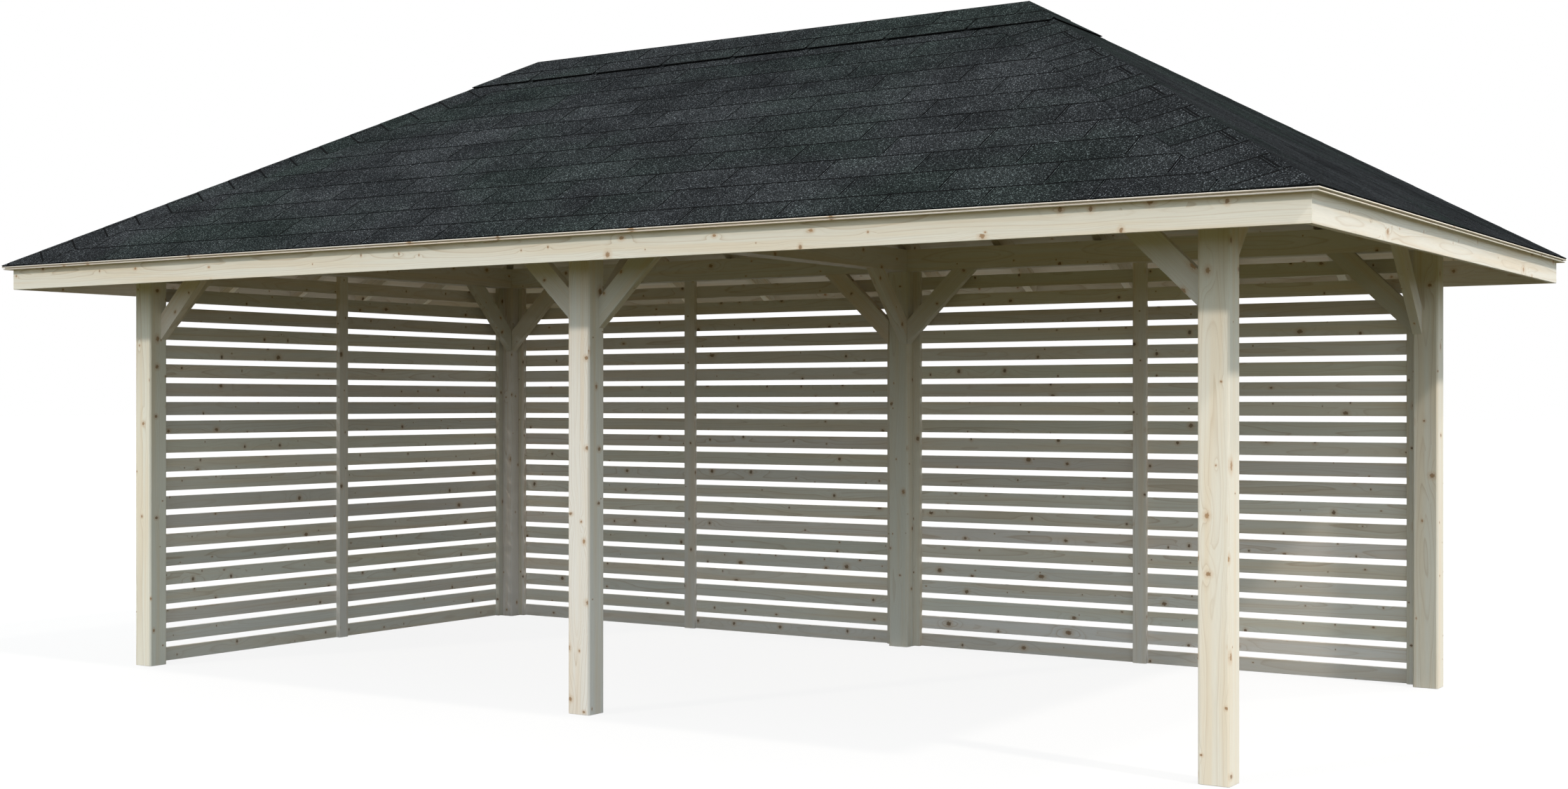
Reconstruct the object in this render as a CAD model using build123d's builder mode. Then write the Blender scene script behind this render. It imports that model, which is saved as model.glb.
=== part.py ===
from build123d import *
from math import atan2, cos, floor, hypot, sin
import os

# Garden gazebo: six posts, a ring of beams with a tie beam, corner braces, slatted walls
# on the left and at the back, and a hipped roof of rafters, boards and shingles.
# X runs to the right along the front, Y to the back, Z up. The origin is on the ground
# in the middle of the posts. Sizes are in millimetres.

# Posts and beams
frame_length = 5900  # along X, over the outer faces of the posts
frame_width = 3280  # along Y, over the outer faces of the posts
post_side = 120
post_height = 2172
post_chamfer = 8
beam_depth = 125

# Braces, set at 45 degrees and flush with the inner faces of the posts
brace_reach = 420  # from the post along the beam, and the same down the post
brace_depth = 98
brace_thickness = 45

# Slatted walls
slat_height = 72.5
slat_gap = 30.75
slat_thickness = 20
wall_foot_gap = 3  # the walls end this far above the ground
batten_thickness = 28
edge_batten_width = 45
middle_batten_width = 74
middle_batten_offset = 35  # to the right of the bay's middle, seen from outside

# Roof planes, measured at the top of the shingles
roof_rise = 1171  # from the eave edge up to the ridge
ridge_half = 1464
eave_overhang_front = 516  # from the outer face of the posts, at the front and back
rafter_seat = 23  # height of the notch that seats a front or back rafter on its beam
shingle_thickness = 6
shingle_step = 4  # thickness that shows at the foot of each course
shingle_exposure = 209  # height of a course that shows, along the slope
first_exposure = 170  # the same for the lowest course
board_thickness = 19
board_cover = 96  # width of one roof board that shows
board_groove_width = 6
board_groove_depth = 7
board_bevel = 4  # bevel of the joints between the boards, on their underside

# Rafters
rafter_thickness = 45
rafter_depth = 105
rafter_spacing = 590
hip_rafter_depth = 125
ridge_board_depth = 150

# Fascias
fascia_thickness = 18
fascia_drop = 126  # from the eave edge down to the fascia's foot
fascia_setback_front = 48.5  # from the eave edge back to the fascia, at the front and back
fascia_setback_side = 38.5  # the same, at the left and right

# Ridge hood, in two courses, and hip strips
hood_rise = 11  # of the lower course over the shingles, straight up
hood_step = 3  # of the upper course over the lower one
hood_run = 278  # from the ridge down to the hood's edge, in plan, at the front and back
hood_step_run = 157  # the same, down to the foot of the upper course
strip_rise = 4
strip_width = 254  # along the slope, on each side of the hip

# Places that follow from the sizes
half_length = frame_length / 2
half_width = frame_width / 2
beam_top = post_height + beam_depth
hip_ratio = (half_length - ridge_half) / half_width  # hips pass over the beams' corners
eave_overhang_side = eave_overhang_front * hip_ratio
eave_half_length = half_length + eave_overhang_side
eave_half_width = half_width + eave_overhang_front
side_run = eave_half_length - ridge_half
board_depth = shingle_thickness + board_thickness  # from the roof plane to the rafters
front_fall = roof_rise / eave_half_width  # height lost per length out, at the front
rafter_rise = (board_depth + rafter_depth) * hypot(1, front_fall) - rafter_seat
eave_height = beam_top + rafter_rise - eave_overhang_front * front_fall
ridge_height = eave_height + roof_rise
fascia_foot = eave_height - fascia_drop
bay_length = half_length - 1.5 * post_side
side_bay_length = frame_width - 2 * post_side

os.makedirs("parts", exist_ok=True)


def save(name, builder):
    """Label a finished piece and write it as its own file."""
    builder.part.label = name
    export_step(builder.part, f"parts/{name}.step")


class Slope:
    """One face of the hipped roof.

    Its head is the ridge, or the end of the ridge, and its foot is the eave. In plan,
    right is to the right of someone who looks at the slope from outside. In a section,
    x is the distance out from the head and y is the height.
    """

    def __init__(self, head, right, run, head_half, foot_half, overhang, setback, side_setback):
        self.plan = Plane(origin=head, x_dir=right, z_dir=(0, 0, 1))
        outward = self.plan.y_dir * -1
        self.section = Plane(origin=head, x_dir=outward, z_dir=self.plan.x_dir * -1)
        self.run = run
        self.head_half = head_half
        self.foot_half = foot_half
        self.beam_out = run - overhang
        self.fascia_out = run - setback
        self.fascia_half = foot_half - side_setback
        self.pitch = atan2(roof_rise, run)
        self.slant = hypot(run, roof_rise)
        self.hip_inset = rafter_thickness / 2 * hypot(run, foot_half - head_half) / run
        self.strip_inset = strip_width * hypot(self.slant, foot_half - head_half) / self.slant

    def height(self, out, depth=0):
        """Height of the plane that lies this deep under the roof plane, at a distance out."""
        return ridge_height - out * roof_rise / self.run - depth / cos(self.pitch)

    def edge_point(self, depth, inset=0):
        """Point this deep under the roof plane, and this far up the slope from the eave edge."""
        out = self.run - depth * sin(self.pitch) - inset * cos(self.pitch)
        return (out, eave_height - depth * cos(self.pitch) + inset * sin(self.pitch))

    def half_at(self, out):
        """Half of the slope's length between its hips, at a distance out."""
        return self.head_half + (self.foot_half - self.head_half) * out / self.run

    def plan_to(self, out):
        """Plan outline between the hips, from the head to a distance out."""
        head = [(-self.head_half, 0), (self.head_half, 0)] if self.head_half else [(0, 0)]
        return head + [(self.half_at(out), -out), (-self.half_at(out), -out)]


front_slope = Slope((0, 0, 0), (1, 0, 0), eave_half_width, ridge_half, eave_half_length,
                    eave_overhang_front, fascia_setback_front, fascia_setback_side)
back_slope = Slope((0, 0, 0), (-1, 0, 0), eave_half_width, ridge_half, eave_half_length,
                   eave_overhang_front, fascia_setback_front, fascia_setback_side)
left_slope = Slope((-ridge_half, 0, 0), (0, -1, 0), side_run, 0, eave_half_width,
                   eave_overhang_side, fascia_setback_side, fascia_setback_front)
right_slope = Slope((ridge_half, 0, 0), (0, 1, 0), side_run, 0, eave_half_width,
                    eave_overhang_side, fascia_setback_side, fascia_setback_front)
slopes = {"front": front_slope, "back": back_slope, "left": left_slope, "right": right_slope}


def trim_to_plan(slope, points):
    """Keep only what stands inside a plan outline of the slope."""
    with BuildSketch(slope.plan) as region:
        Polygon(*points)
    extrude(region.sketch, amount=2 * ridge_height, mode=Mode.INTERSECT)


def trim_under_boards(slope):
    """Keep only what lies under the roof boards of the slope."""
    back = -2 * eave_half_length
    with BuildSketch(slope.section) as region:
        Polygon(
            (back, 0),
            (slope.run, 0),
            (slope.run, slope.height(slope.run, board_depth)),
            (back, slope.height(back, board_depth)),
        )
    extrude(region.sketch, amount=2 * eave_half_length, both=True, mode=Mode.INTERSECT)


def slope_piece(slope, section_points, plan_points):
    """Section run along the whole slope and trimmed to a plan outline."""
    with BuildPart() as piece:
        with BuildSketch(slope.section):
            Polygon(*section_points)
        extrude(amount=slope.foot_half, both=True)
        trim_to_plan(slope, plan_points)
    return piece


def post(x, y):
    """Square post with chamfered long edges."""
    with BuildPart() as piece:
        with BuildSketch():
            with Locations((x, y)):
                Rectangle(post_side, post_side)
        extrude(amount=post_height)
        chamfer(piece.edges().filter_by(Axis.Z), length=post_chamfer)
    return piece


def beam_blank(length, x, y, along):
    """Beam of the posts' width that lies on the posts, along X or Y."""
    size = (length, post_side) if along == Axis.X else (post_side, length)
    with BuildSketch(Plane.XY.offset(post_height)) as bed:
        with Locations((x, y)):
            Rectangle(*size)
    extrude(bed.sketch, amount=beam_depth)


def lap_cut(height, places):
    """Half-lap as wide as a post, cut from this height over half of the beam's depth."""
    with BuildSketch(Plane.XY.offset(height)) as laps:
        with Locations(*places):
            Rectangle(post_side, post_side)
    extrude(laps.sketch, amount=beam_depth / 2, mode=Mode.SUBTRACT)


def long_beam(y):
    """Front or back beam, lapped under the side beams and the tie beam."""
    corner = half_length - post_side / 2
    with BuildPart() as piece:
        beam_blank(frame_length, 0, y, Axis.X)
        lap_cut(post_height + beam_depth / 2, [(-corner, y), (0, y), (corner, y)])
    return piece


def cross_beam(x):
    """Side beam or tie beam, lapped over the front and back beams."""
    corner = half_width - post_side / 2
    with BuildPart() as piece:
        beam_blank(frame_width, x, 0, Axis.Y)
        lap_cut(post_height, [(x, -corner), (x, corner)])
    return piece


def brace(face, direction):
    """Brace in a corner. The face plane starts at the post, x runs along the beam, y up."""
    cut = brace_depth * 2 ** 0.5
    with BuildSketch(face) as profile:
        Polygon(
            (0, post_height - brace_reach),
            (brace_reach, post_height),
            (brace_reach - cut, post_height),
            (0, post_height - brace_reach + cut),
        )
    extrude(profile.sketch, amount=direction * brace_thickness)


def wall_panel(wall, length):
    """Slats on battens. The wall plane is the outer face, x to the right seen from outside."""
    pitch = slat_height + slat_gap
    count = floor((post_height - wall_foot_gap + slat_gap) / pitch)
    slats_middle = wall_foot_gap + (count * pitch - slat_gap) / 2
    batten_length = post_height - wall_foot_gap
    battens_middle = wall_foot_gap + batten_length / 2
    edge = (length - edge_batten_width) / 2
    with BuildPart() as piece:
        with BuildSketch(wall):
            with Locations((0, slats_middle)):
                with GridLocations(0, pitch, 1, count):
                    Rectangle(length, slat_height)
        extrude(amount=-slat_thickness)
        with BuildSketch(wall.offset(-slat_thickness)):
            with Locations((-edge, battens_middle), (edge, battens_middle)):
                Rectangle(edge_batten_width, batten_length)
            with Locations((middle_batten_offset, battens_middle)):
                Rectangle(middle_batten_width, batten_length)
        extrude(amount=-batten_thickness)
    return piece


def ridge_board():
    """Board under the ridge, with its top bevelled to all the slopes that meet on it."""
    foot = front_slope.height(0, board_depth) - ridge_board_depth
    with BuildPart() as piece:
        with BuildSketch(Plane.YZ.offset(-ridge_half)):
            with Locations((0, foot + ridge_board_depth)):
                Rectangle(rafter_thickness, 2 * ridge_board_depth)
        extrude(amount=2 * ridge_half)
        for slope in slopes.values():
            trim_under_boards(slope)
    return piece


def rafter_section(slope):
    """Rafter seen from the side, with its birdsmouth over the beam and a plumb-cut tail."""
    low = board_depth + rafter_depth
    tail = slope.fascia_out - fascia_thickness
    seat_end = (slope.height(0, low) - beam_top) * slope.run / roof_rise
    Polygon(
        (0, slope.height(0, board_depth)),
        (tail, slope.height(tail, board_depth)),
        (tail, slope.height(tail, low)),
        (slope.beam_out, slope.height(slope.beam_out, low)),
        (slope.beam_out, beam_top),
        (seat_end, beam_top),
        (0, slope.height(0, low)),
    )


def rafter_plan(slope):
    """Plan outline of a slope's rafters, between the sides of the hip rafters."""
    half = rafter_thickness / 2
    foot = (slope.foot_half - slope.hip_inset, -slope.run)
    if slope.head_half:
        right = [(slope.half_at(half) - slope.hip_inset, -half), foot]
    else:
        nose = (half + slope.hip_inset) * slope.run / slope.foot_half
        right = [(half, 0), (half, -nose), foot]
    left = [(-x, y) for x, y in reversed(right)]
    return right + left


def rafters(slope):
    """Common and jack rafters of a slope, each standing on a beam."""
    half = rafter_thickness / 2
    reach = slope.half_at(slope.beam_out) - slope.hip_inset - half
    last = floor(reach / rafter_spacing)
    with BuildPart() as piece:
        for step in range(-last, last + 1):
            with BuildSketch(slope.section.offset(step * rafter_spacing)):
                rafter_section(slope)
            extrude(amount=half, both=True)
        trim_to_plan(slope, rafter_plan(slope))
        for other in slopes.values():
            if other is not slope:
                trim_under_boards(other)
    return piece


def hip_rafter(side, end):
    """Hip rafter of one corner; side is -1 at the left, end is -1 at the front."""
    hip_run = hypot(side_run, eave_half_width)
    fall = roof_rise / hip_run
    low = (board_depth + hip_rafter_depth) * hypot(1, fall)
    along = (side * side_run / hip_run, end * eave_half_width / hip_run, 0)
    across = (end * eave_half_width / hip_run, -side * side_run / hip_run, 0)
    vertical = Plane(origin=(side * ridge_half, 0, 0), x_dir=along, z_dir=across)
    if vertical.y_dir.Z < 0:
        vertical = Plane(origin=vertical.origin, x_dir=along, z_dir=vertical.z_dir * -1)
    inner = rafter_thickness / 2
    outer_x = front_slope.fascia_half - fascia_thickness
    outer_y = front_slope.fascia_out - fascia_thickness
    with BuildPart() as piece:
        with BuildSketch(vertical):
            Polygon(
                (-hip_run / 10, ridge_height + hip_run / 10 * fall - low),
                (hip_run, eave_height - low),
                (hip_run, 2 * ridge_height),
                (-hip_run / 10, 2 * ridge_height),
            )
        extrude(amount=inner, both=True)
        with BuildSketch():
            with Locations((side * outer_x / 2, end * (inner + outer_y) / 2)):
                Rectangle(outer_x, outer_y - inner)
        extrude(amount=2 * ridge_height, mode=Mode.INTERSECT)
        for slope in slopes.values():
            trim_under_boards(slope)
        with BuildSketch():
            Rectangle(frame_length, frame_width)
        extrude(amount=beam_top, mode=Mode.SUBTRACT)
    return piece


def roof_boards(slope):
    """Tongued boards of a slope, with the groove open along the eave edge."""
    groove_top = shingle_thickness + (board_thickness - board_groove_width) / 2
    groove_low = groove_top + board_groove_width
    section = [
        (0, slope.height(0, shingle_thickness)),
        slope.edge_point(shingle_thickness),
        slope.edge_point(groove_top),
        slope.edge_point(groove_top, board_groove_depth),
        slope.edge_point(groove_low, board_groove_depth),
        slope.edge_point(groove_low),
        slope.edge_point(board_depth),
    ]
    for joint in range(1, floor((slope.slant - board_bevel) / board_cover) + 1):
        place = joint * board_cover
        section.append(slope.edge_point(board_depth, place - board_bevel))
        section.append(slope.edge_point(board_depth - board_bevel, place))
        section.append(slope.edge_point(board_depth, place + board_bevel))
    section.append((0, slope.height(0, board_depth)))
    return slope_piece(slope, section, slope.plan_to(slope.run))


def shingles(slope):
    """Shingle courses of a slope, each lapped over the one below it."""
    section = [slope.edge_point(shingle_thickness), slope.edge_point(0)]
    foot = first_exposure
    while foot < slope.slant - shingle_thickness:
        section.append(slope.edge_point(shingle_step, foot))
        section.append(slope.edge_point(0, foot))
        foot += shingle_exposure
    section.append((0, slope.height(0)))
    section.append((0, slope.height(0, shingle_thickness)))
    return slope_piece(slope, section, slope.plan_to(slope.run))


def fascia(slope):
    """Fascia board under the eave, mitred at the corners."""
    outer = slope.fascia_out
    inner = outer - fascia_thickness
    inner_half = slope.fascia_half - fascia_thickness
    with BuildPart() as piece:
        with BuildSketch(slope.plan.offset(fascia_foot)):
            Polygon(
                (-slope.fascia_half, -outer),
                (slope.fascia_half, -outer),
                (inner_half, -inner),
                (-inner_half, -inner),
            )
        extrude(amount=eave_height - fascia_foot + board_depth)
        for other in slopes.values():
            trim_under_boards(other)
    return piece


def hood_out(slope, front_out):
    """Distance out on a slope that goes with a distance out at the front."""
    return front_out * slope.run / eave_half_width


def ridge_hood():
    """Raised hood over the ridge, hipped like the roof, with two courses of shingles."""
    with BuildPart() as piece:
        for slope in slopes.values():
            out = hood_out(slope, hood_run)
            step = hood_out(slope, hood_step_run)
            top = hood_rise + hood_step
            section = [
                (0, slope.height(0)),
                (out, slope.height(out)),
                (out, slope.height(out) + hood_rise),
                (step, slope.height(step) + hood_rise),
                (step, slope.height(step) + top),
                (0, slope.height(0) + top),
            ]
            add(slope_piece(slope, section, slope.plan_to(out)).part)
    return piece


def strip_leaf(slope, side):
    """Half of a hip strip: what lies on one slope, along its hip on this side."""
    top = hood_out(slope, hood_run)
    inset = slope.strip_inset
    meeting = (inset - slope.head_half) * slope.run / (slope.foot_half - slope.head_half)
    outer = [(slope.half_at(top), -top), (slope.foot_half, -slope.run)]
    inner = [(slope.foot_half - inset, -slope.run)]
    if meeting > top:
        inner += [(0, -meeting), (0, -top)]
    else:
        inner += [(slope.half_at(top) - inset, -top)]
    section = [
        (0, slope.height(0)),
        (slope.run, eave_height),
        (slope.run, eave_height + strip_rise),
        (0, slope.height(0) + strip_rise),
    ]
    return slope_piece(slope, section, [(side * x, y) for x, y in outer + inner])


def hip_strip(right_hip_of, left_hip_of):
    """Strip of shingles bent over a hip."""
    with BuildPart() as piece:
        add(strip_leaf(right_hip_of, 1).part)
        add(strip_leaf(left_hip_of, -1).part)
    return piece


# Posts stand in three pairs, and the walls and beams are flush with their outer faces
post_x = half_length - post_side / 2
post_y = half_width - post_side / 2
bay_middle = (post_side + bay_length) / 2
inner_x = half_length - post_side
inner_y = half_width - post_side
half_post = post_side / 2

for row, y in {"front": -post_y, "back": post_y}.items():
    for place, x in {"left": -post_x, "middle": 0, "right": post_x}.items():
        save(f"{row}_{place}_post", post(x, y))

save("front_beam", long_beam(-post_y))
save("back_beam", long_beam(post_y))
save("left_beam", cross_beam(-post_x))
save("right_beam", cross_beam(post_x))
save("tie_beam", cross_beam(0))

# Braces of the front and back row stand in the plane of the posts' inner faces
for row, side in {"front": -1, "back": 1}.items():
    starts = {-inner_x: 1, -half_post: -1, half_post: 1, inner_x: -1}
    with BuildPart() as row_braces:
        for x, direction in starts.items():
            face = Plane(origin=(x, side * inner_y, 0), x_dir=(direction, 0, 0), z_dir=(0, -direction, 0))
            brace(face, side * -direction)
    save(f"{row}_braces", row_braces)

# Braces across the gazebo: flush with the inner faces at the ends, and with the right
# faces of the middle posts under the tie beam
for name, (x, side) in {"left": (-inner_x, -1), "right": (inner_x, 1), "tie": (half_post, -1)}.items():
    with BuildPart() as cross_braces:
        for end in (-1, 1):
            face = Plane(origin=(x, end * inner_y, 0), x_dir=(0, -end, 0), z_dir=(-end, 0, 0))
            brace(face, side * -end)
    save(f"{name}_braces", cross_braces)

back_left_face = Plane(origin=(-bay_middle, half_width, 0), x_dir=(-1, 0, 0), z_dir=(0, 1, 0))
back_right_face = Plane(origin=(bay_middle, half_width, 0), x_dir=(-1, 0, 0), z_dir=(0, 1, 0))
left_face = Plane(origin=(-half_length, 0, 0), x_dir=(0, -1, 0), z_dir=(-1, 0, 0))
save("back_left_wall", wall_panel(back_left_face, bay_length))
save("back_right_wall", wall_panel(back_right_face, bay_length))
save("left_wall", wall_panel(left_face, side_bay_length))

save("ridge_board", ridge_board())
for row, end in {"front": -1, "back": 1}.items():
    for place, side in {"left": -1, "right": 1}.items():
        save(f"{row}_{place}_hip_rafter", hip_rafter(side, end))

for name, slope in slopes.items():
    save(f"{name}_rafters", rafters(slope))
    save(f"{name}_roof_boards", roof_boards(slope))
    save(f"{name}_fascia", fascia(slope))
    save(f"{name}_shingles", shingles(slope))

save("front_right_hip_strip", hip_strip(front_slope, right_slope))
save("back_right_hip_strip", hip_strip(right_slope, back_slope))
save("back_left_hip_strip", hip_strip(back_slope, left_slope))
save("front_left_hip_strip", hip_strip(left_slope, front_slope))
save("ridge_hood", ridge_hood())
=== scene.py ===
"""Garden gazebo: spruce frame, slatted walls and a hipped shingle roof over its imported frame."""

import math
import random

import bmesh
import bpy
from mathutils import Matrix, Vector


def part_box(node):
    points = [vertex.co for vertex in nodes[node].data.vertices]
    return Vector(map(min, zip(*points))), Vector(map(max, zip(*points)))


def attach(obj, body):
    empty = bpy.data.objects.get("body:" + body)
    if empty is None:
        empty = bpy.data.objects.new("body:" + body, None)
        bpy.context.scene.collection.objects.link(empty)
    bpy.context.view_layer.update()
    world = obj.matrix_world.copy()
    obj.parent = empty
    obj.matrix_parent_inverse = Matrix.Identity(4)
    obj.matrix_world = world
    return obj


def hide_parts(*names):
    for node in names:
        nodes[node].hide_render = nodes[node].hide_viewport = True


bl_info = {
    "name": "Garden gazebo",
    "version": (1, 0, 0),
    "blender": (4, 5, 0),
    "location": "3D View > Sidebar > Gazebo",
    "description": "Spruce frame, slatted walls and shingle roof of a garden gazebo",
    "category": "Object",
}

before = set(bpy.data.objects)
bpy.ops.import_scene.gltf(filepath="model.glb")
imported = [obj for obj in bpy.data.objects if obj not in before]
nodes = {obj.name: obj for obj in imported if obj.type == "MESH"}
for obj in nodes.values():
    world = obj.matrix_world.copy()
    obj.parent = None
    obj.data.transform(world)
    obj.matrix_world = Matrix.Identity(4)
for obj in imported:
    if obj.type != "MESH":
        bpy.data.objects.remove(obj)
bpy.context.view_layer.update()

POSTS = [
    f"{row}_{place}_post" for row in ("front", "back") for place in ("left", "middle", "right")]
LONG_BEAMS = ["front_beam", "back_beam"]
CROSS_BEAMS = ["left_beam", "right_beam", "tie_beam"]
SIDES = ("front", "back", "left", "right")
CORNERS = [("front", "right"), ("right", "back"), ("back", "left"), ("left", "front")]
STRIP_NODES = [
    "front_right_hip_strip", "back_right_hip_strip", "back_left_hip_strip",
    "front_left_hip_strip"]

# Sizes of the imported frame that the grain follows, in metres. The last three are the stretch
# that holds one batten, the distance between rafters and the width of a roof board
BAY = 2.95
SLAT_PITCH = 0.10325
SLAT_GAP_HALF = 0.0154
SLAT_BACK = 0.0202
BATTEN_REACH = 0.4
RAFTER_PITCH = 0.59
ROOF_BOARD = 0.096

# Board numbers whose tone suits each post of the photograph
POST_BOARDS = (2.0, 8.0, 5.0, 11.0, 15.0, 14.0)
# Boards from this number on, such as the slats, also have dead knots
FIRST_DEAD_KNOT_BOARD = 99.5
# Width of the strip of a board that holds one knot, and the smallest and largest knot
KNOT_STRIP = 0.085
KNOT_RADII = (0.0028, 0.0118)

# Depth of the sheet under the shingles, and how far a course reaches under the next one
SHEET_DEPTH = 0.0055
LAP = 0.03
# Clipped plates under this area, in square metres, are left out
SMALLEST_PLATE = 2e-4
# Tints of plates that are no tab: first the level, then the share of green
# The sheet's tint is very dark: painted shade in the slots and the open lines between courses
SHADE_SHEET_TINT = (-1.0, 0.0, 0.5, 1)
PLAIN_TINT = (0.2, 0.3, 0.5, 1)
STREAK_TINT = (2.2, 0.1, 0.5, 1)
HIP_STREAK_TINT = (0.9, 0.1, 0.5, 1)


class GazeboTimber(bpy.types.PropertyGroup):
    """Colours and grain of the planed spruce."""

    sapwood: bpy.props.FloatVectorProperty(
        name="Sapwood", description="Pale wood between the growth lines", subtype="COLOR",
        size=3, min=0, max=1, default=(0.808, 0.768, 0.714))
    heartwood: bpy.props.FloatVectorProperty(
        name="Heartwood", description="Warmer wood in broad streaks", subtype="COLOR",
        size=3, min=0, max=1, default=(0.788, 0.688, 0.572))
    latewood: bpy.props.FloatVectorProperty(
        name="Growth lines", description="Thin dark lines of the growth rings", subtype="COLOR",
        size=3, min=0, max=1, default=(0.50, 0.37, 0.25))
    knot: bpy.props.FloatVectorProperty(
        name="Knots", description="Sound knots", subtype="COLOR",
        size=3, min=0, max=1, default=(0.47, 0.27, 0.13))
    ring_width: bpy.props.FloatProperty(
        name="Ring width", description="Distance between two growth rings", unit="LENGTH",
        min=0.001, max=0.02, default=0.0052)
    knot_spacing: bpy.props.FloatProperty(
        name="Knot spacing", description="Usual distance between knots along a board",
        unit="LENGTH", min=0.05, max=2, default=0.24)
    board_spread: bpy.props.FloatProperty(
        name="Board spread", description="How much one board is lighter or darker than the next",
        subtype="FACTOR", min=0, max=0.5, default=0.10)
    arris: bpy.props.FloatProperty(
        name="Eased edge", description="Width of the eased edges of the boards", unit="LENGTH",
        min=0, max=0.005, default=0.002)


class GazeboShingles(bpy.types.PropertyGroup):
    """Sizes and colours of the bitumen shingles."""

    roof_rise: bpy.props.FloatProperty(
        name="Roof rise", description="Height of the ridge over the eave edge", unit="LENGTH",
        default=1.171)
    exposure: bpy.props.FloatProperty(
        name="Course", description="Height of a course that shows", unit="LENGTH", default=0.209)
    first_exposure: bpy.props.FloatProperty(
        name="Lowest course", description="Height of the course at the eave", unit="LENGTH",
        default=0.170)
    tab_width: bpy.props.FloatProperty(
        name="Tab width", description="Distance between the slots of a strip", unit="LENGTH",
        default=0.4305)
    strip_joint: bpy.props.FloatProperty(
        name="Strip joint", description="Extra width of the tab where two strips meet",
        unit="LENGTH", default=0.032)
    slot_width: bpy.props.FloatProperty(
        name="Slot width", description="Gap between two tabs", unit="LENGTH", default=0.014)
    thickness: bpy.props.FloatProperty(
        name="Thickness", description="Thickness of a shingle at its foot", unit="LENGTH",
        default=0.0022)
    hip_exposure: bpy.props.FloatProperty(
        name="Hip course", description="Length of a hip shingle that shows", unit="LENGTH",
        default=0.178)
    hip_width: bpy.props.FloatProperty(
        name="Hip leaf", description="Width of a hip shingle on each side of the hip",
        unit="LENGTH", default=0.228)
    hood_run: bpy.props.FloatProperty(
        name="Hood reach", description="From the ridge to the hood's edge, in plan", unit="LENGTH",
        default=0.278)
    hood_step_run: bpy.props.FloatProperty(
        name="Hood top course", description="From the ridge to the upper course's foot, in plan",
        unit="LENGTH", default=0.157)
    hood_rise: bpy.props.FloatProperty(
        name="Hood rise", description="Height of the hood's lower course over the roof",
        unit="LENGTH", default=0.011)
    slate: bpy.props.FloatVectorProperty(
        name="Slate granules", description="Usual granules", subtype="COLOR", size=3, min=0,
        max=1, default=(0.0260, 0.0289, 0.0318))
    moss: bpy.props.FloatVectorProperty(
        name="Green granules", description="Greener granules of some tabs", subtype="COLOR",
        size=3, min=0, max=1, default=(0.0218, 0.0280, 0.0278))
    # Bitumen of the cut edges, also the colour of painted shade on the sheet in the slots and of
    # painted shadow lines
    bitumen_and_shade: bpy.props.FloatVectorProperty(
        name="Bitumen", description="Cut edges and the sheet in the slots", subtype="COLOR",
        size=3, min=0, max=1, default=(0.0055, 0.0058, 0.0062))
    granule: bpy.props.FloatProperty(
        name="Granule size", description="Size of the stone granules", unit="LENGTH",
        min=0.0005, max=0.02, default=0.0028)


class GazeboStage(bpy.types.PropertyGroup):
    """Lamps, sky and floor."""

    key: bpy.props.FloatProperty(
        name="Front lamp", description="Strength of the lamp from the front left", default=1.26)
    side: bpy.props.FloatProperty(
        name="Side lamp", description="Strength of the lamp from the right", default=2.1)
    rear: bpy.props.FloatProperty(
        name="Rear lamp", description="Strength of the lamp from behind", default=0.8)
    softness: bpy.props.FloatProperty(
        name="Softness", description="Angle under which a lamp is seen", subtype="ANGLE",
        default=math.radians(3))
    sky: bpy.props.FloatVectorProperty(
        name="Sky", description="Light from overhead", subtype="COLOR", size=3, min=0, max=2,
        default=(0.74, 0.83, 0.90))
    horizon: bpy.props.FloatVectorProperty(
        name="Horizon", description="Light from all round, low down", subtype="COLOR", size=3,
        min=0, max=2, default=(1.18, 1.31, 1.34))
    floor: bpy.props.FloatVectorProperty(
        name="Floor", description="Light that the floor gives back", subtype="COLOR", size=3,
        min=0, max=1, default=(0.068, 0.062, 0.020))


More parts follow.
